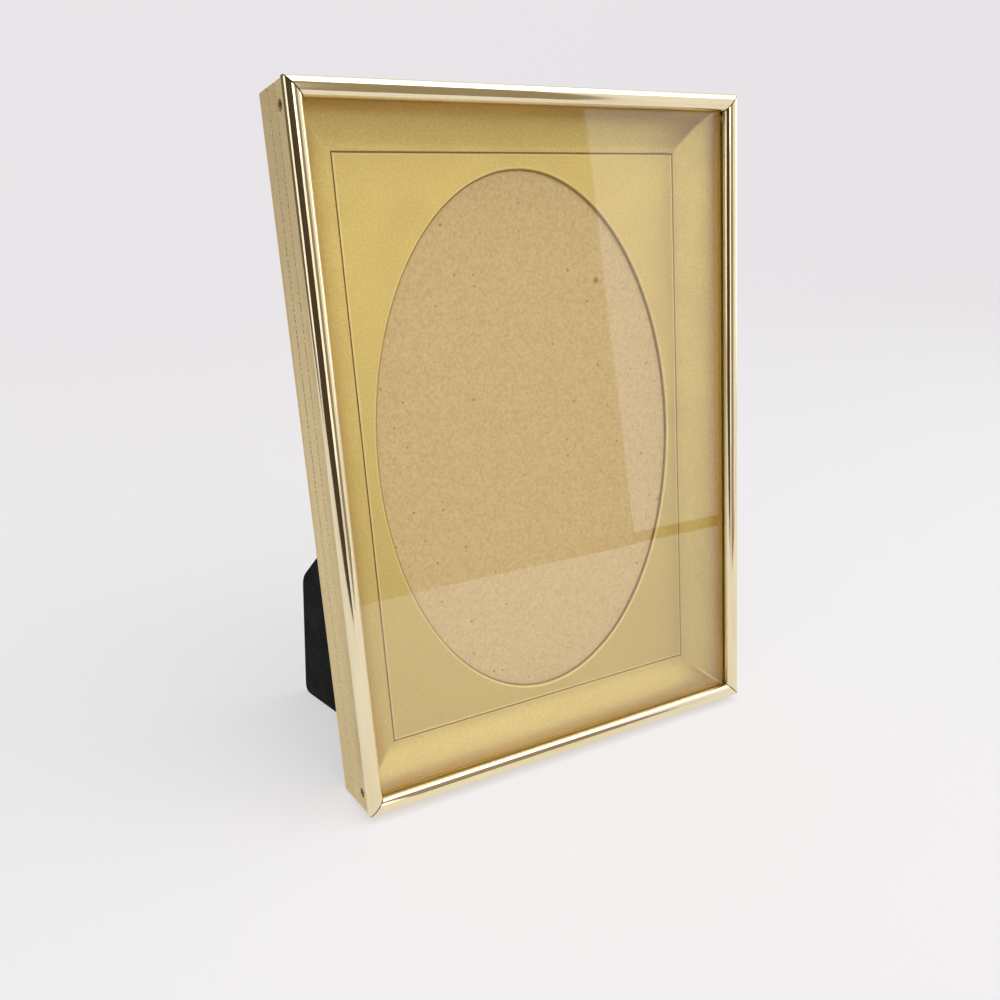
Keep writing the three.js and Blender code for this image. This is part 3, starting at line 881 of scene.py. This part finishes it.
def room_card(name, start, end, top, colour):
    """An upright card between two (x, y) points of the table, which only shows in polished pieces.

    A ray that has bent more often in the glass comes from the mat, and goes on past the card.
    """
    material = bpy.data.materials.new(name)
    material.use_nodes = True
    nodes = material.node_tree.nodes
    nodes.remove(nodes["Principled BSDF"])
    glow = add_node(material, "ShaderNodeEmission", Color=colour, Strength=1)
    clear = add_node(material, "ShaderNodeBsdfTransparent")
    rays = add_node(material, "ShaderNodeLightPath")
    from_mat = add_node(material, "ShaderNodeMath")
    from_mat.operation = "GREATER_THAN"
    from_mat.inputs[1].default_value = most_bends_in_glass
    join(material, rays, "Transmission Depth", from_mat, 0)
    mix = add_node(material, "ShaderNodeMixShader")
    join(material, from_mat, "Value", mix, 0)
    join(material, glow, "Emission", mix, 1)
    join(material, clear, "BSDF", mix, 2)
    join(material, mix, "Shader", nodes["Material Output"], "Surface")
    bm = bmesh.new()
    foot = bm.edges.new([bm.verts.new((*start, 0)), bm.verts.new((*end, 0))])
    drawn = bmesh.ops.extrude_edge_only(bm, edges=[foot])["geom"]
    moved = [item for item in drawn if isinstance(item, bmesh.types.BMVert)]
    bmesh.ops.translate(bm, verts=moved, vec=(0, 0, top))
    card = put_on_stage(bm, name, material)
    card.visible_camera = False
    card.visible_diffuse = False
    card.visible_shadow = False


table_edge = -0.349
room_height = 0.5
rim_face = table_edge + 0.001
rim_height = 0.008
end_of_table = -0.75
end_height = 0.9
front_cards = {
    "dark_side_of_room": (-1.2, -0.06, (0.075, 0.055, 0.04, 1)),
    "dim_side_of_room": (0.05, 0.26, (0.33, 0.28, 0.20, 1)),
    "pale_side_of_room": (0.26, 1.2, (0.92, 0.91, 0.93, 1)),
}
for name, (left, right, colour) in front_cards.items():
    room_card(name, (left, table_edge), (right, table_edge), room_height, colour)
room_card("rim_of_table", (0.2, rim_face), (0.8, rim_face), rim_height, (0.22, 0.14, 0.06, 1))
room_card("dim_end_of_room", (end_of_table, 0.1), (end_of_table, 1.5), end_height, (0.15, 0.12, 0.09, 1))


lamp_aim = Vector((0, 0, 0.08))


def soft_lamp(name, place_at, size, power):
    lamp = bpy.data.lights.new(name, "AREA")
    lamp.shape = "SQUARE"
    lamp.size = size
    lamp.energy = power
    holder = bpy.data.objects.new(name, lamp)
    holder.location = place_at
    holder.rotation_euler = (lamp_aim - Vector(place_at)).to_track_quat("-Z", "Y").to_euler()
    # The glass lets lamp light straight by, so a ray that bends through it must not find the lamp again.
    holder.visible_transmission = False
    bpy.context.scene.collection.objects.link(holder)


soft_lamp("lamp_above", (0.1, -0.6, 1.15), 2.2, 23)
soft_lamp("lamp_right", (1.0, -0.4, 0.5), 1.2, 3.6)
soft_lamp("lamp_left", (-1.0, 0.4, 0.4), 0.6, 1.7)

# A white tent round it all. It gives less light at its open front, reflections show it brighter than it
# lights the object, and the camera sees it plain.
towards_front = (0.2, -0.98, 0)
world = bpy.data.worlds.new("white_tent")
world.use_nodes = True
tent_nodes = world.node_tree.nodes
lit = tent_nodes["Background"]
direction = add_node(world, "ShaderNodeTexCoord")
frontness = add_node(world, "ShaderNodeVectorMath")
frontness.operation = "DOT_PRODUCT"
frontness.inputs[1].default_value = towards_front
join(world, direction, "Generated", frontness, 0)
open_front = add_node(world, "ShaderNodeMapRange", From_Min=0.1, From_Max=0.9, To_Min=1.0, To_Max=0.4)
open_front.interpolation_type = "SMOOTHSTEP"
join(world, frontness, "Value", open_front, "Value")
join(world, open_front, "Result", lit, "Strength")
seen_tent = add_node(world, "ShaderNodeBackground", Strength=1.5)
upwards = add_node(world, "ShaderNodeSeparateXYZ")
join(world, direction, "Generated", upwards, "Vector")
overhead = add_node(world, "ShaderNodeMapRange", From_Min=0.2, From_Max=0.8)
join(world, upwards, "Z", overhead, "Value")
vary_colour(world, seen_tent, overhead, [(0, (0.88, 0.87, 0.86)), (1, (0.78, 0.80, 0.9))], "Color")
mix_tent = add_node(world, "ShaderNodeMixShader")
join(world, seen_rays(world), "Value", mix_tent, 0)
join(world, lit, "Background", mix_tent, 1)
join(world, seen_tent, "Background", mix_tent, 2)
plain_tent = add_node(world, "ShaderNodeBackground", Color=(0.96, 0.95, 0.96, 1), Strength=1)
world_rays = add_node(world, "ShaderNodeLightPath")
show_plain = add_node(world, "ShaderNodeMixShader")
join(world, world_rays, "Is Camera Ray", show_plain, 0)
join(world, mix_tent, "Shader", show_plain, 1)
join(world, plain_tent, "Background", show_plain, 2)
join(world, show_plain, "Shader", tent_nodes["World Output"], "Surface")
bpy.context.scene.world = world

# The camera, as fitted to the corners of the frame in the photograph.
camera = bpy.data.cameras.new("photo_camera")
camera.sensor_width = 36
camera.lens = 34.431
camera.shift_y = 0.065
camera.clip_start = 0.01
viewer = bpy.data.objects.new("photo_camera", camera)
viewer.location = (-0.14214, -0.24129, 0.16576)
viewer.rotation_euler = (math.radians(67.352), math.radians(0.0175), math.radians(-29.963))
bpy.context.scene.collection.objects.link(viewer)
bpy.context.scene.camera = viewer
bpy.context.scene.view_settings.view_transform = "Standard"
